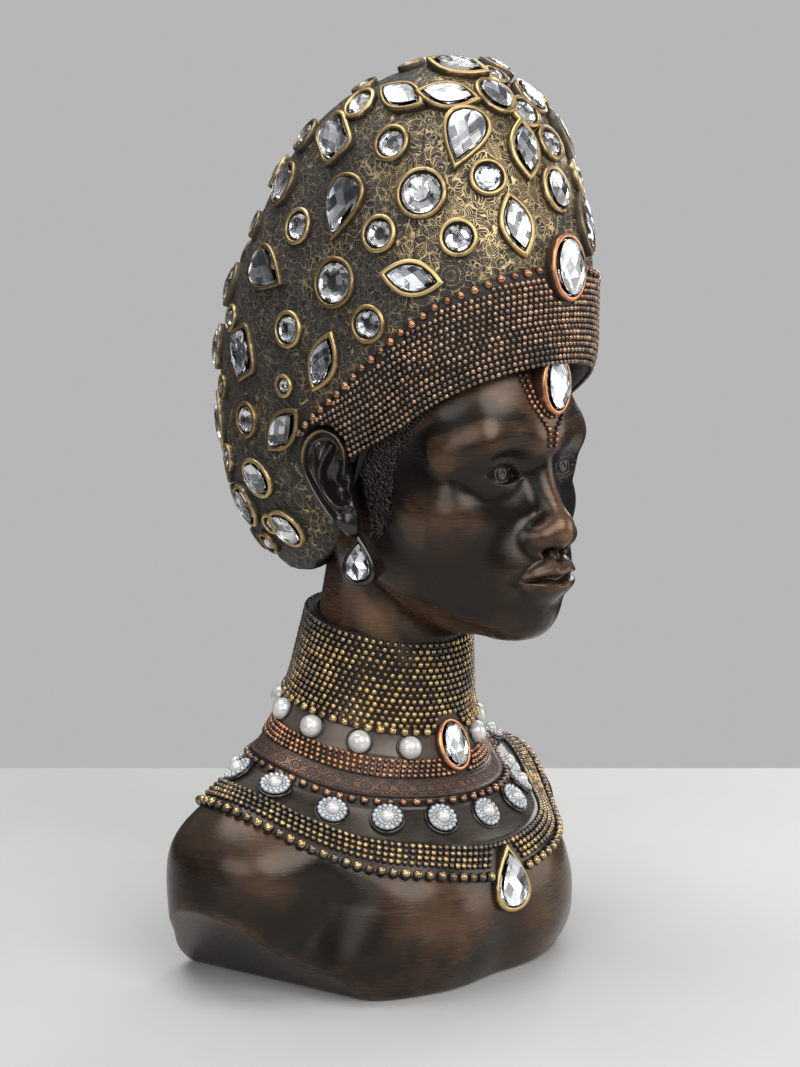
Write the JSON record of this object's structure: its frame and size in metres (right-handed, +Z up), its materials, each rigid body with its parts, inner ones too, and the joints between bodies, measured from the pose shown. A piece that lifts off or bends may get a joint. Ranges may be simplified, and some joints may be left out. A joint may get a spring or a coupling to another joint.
{
  "type": "decorative queen bust",
  "caption": "Standing bust of a queen in a tall jewelled headdress and beaded collars, cast in dark resin with set stones and pearls.",
  "frame": {"origin": "centre of the flat underside", "axes": "+Z up the bust to the crown, -Y out of the face, +X to the figure's left"},
  "size_m": [0.175, 0.1521, 0.3167],
  "materials": {
    "resin": "satin dark brown-black with bronze and copper rubs, antique gold on the headdress and beads",
    "stone": "clear facetted acrylic over silver foil",
    "pearl": "pearlescent white"
  },
  "bodies": {
    "root": {"brooch_stone": "stone", "bust": "resin", "crown_stone_1": "stone", "crown_stone_10": "stone", "crown_stone_11": "stone", "crown_stone_12": "stone", "crown_stone_13": "stone", "crown_stone_14": "stone", "crown_stone_15": "stone", "crown_stone_16": "stone", "crown_stone_17": "stone", "crown_stone_18": "stone", "crown_stone_19": "stone", "crown_stone_2": "stone", "crown_stone_20": "stone", "crown_stone_3": "stone", "crown_stone_4": "stone", "crown_stone_5": "stone", "crown_stone_6": "stone", "crown_stone_7": "stone", "crown_stone_8": "stone", "crown_stone_9": "stone", "flower_pearl_1": "pearl", "flower_pearl_10": "pearl", "flower_pearl_11": "pearl", "flower_pearl_12": "pearl", "flower_pearl_13": "pearl", "flower_pearl_14": "pearl", "flower_pearl_15": "pearl", "flower_pearl_16": "pearl", "flower_pearl_17": "pearl", "flower_pearl_2": "pearl", "flower_pearl_3": "pearl", "flower_pearl_4": "pearl", "flower_pearl_5": "pearl", "flower_pearl_6": "pearl", "flower_pearl_7": "pearl", "flower_pearl_8": "pearl", "flower_pearl_9": "pearl", "forehead_stone": "stone", "headband_stone": "stone", "left_ear_stone": "stone", "pearl_1": "pearl", "pearl_10": "pearl", "pearl_11": "pearl", "pearl_12": "pearl", "pearl_2": "pearl", "pearl_3": "pearl", "pearl_4": "pearl", "pearl_5": "pearl", "pearl_6": "pearl", "pearl_7": "pearl", "pearl_8": "pearl", "pearl_9": "pearl", "pendant_stone": "stone", "right_ear_stone": "stone"}
  },
  "joints": []
}
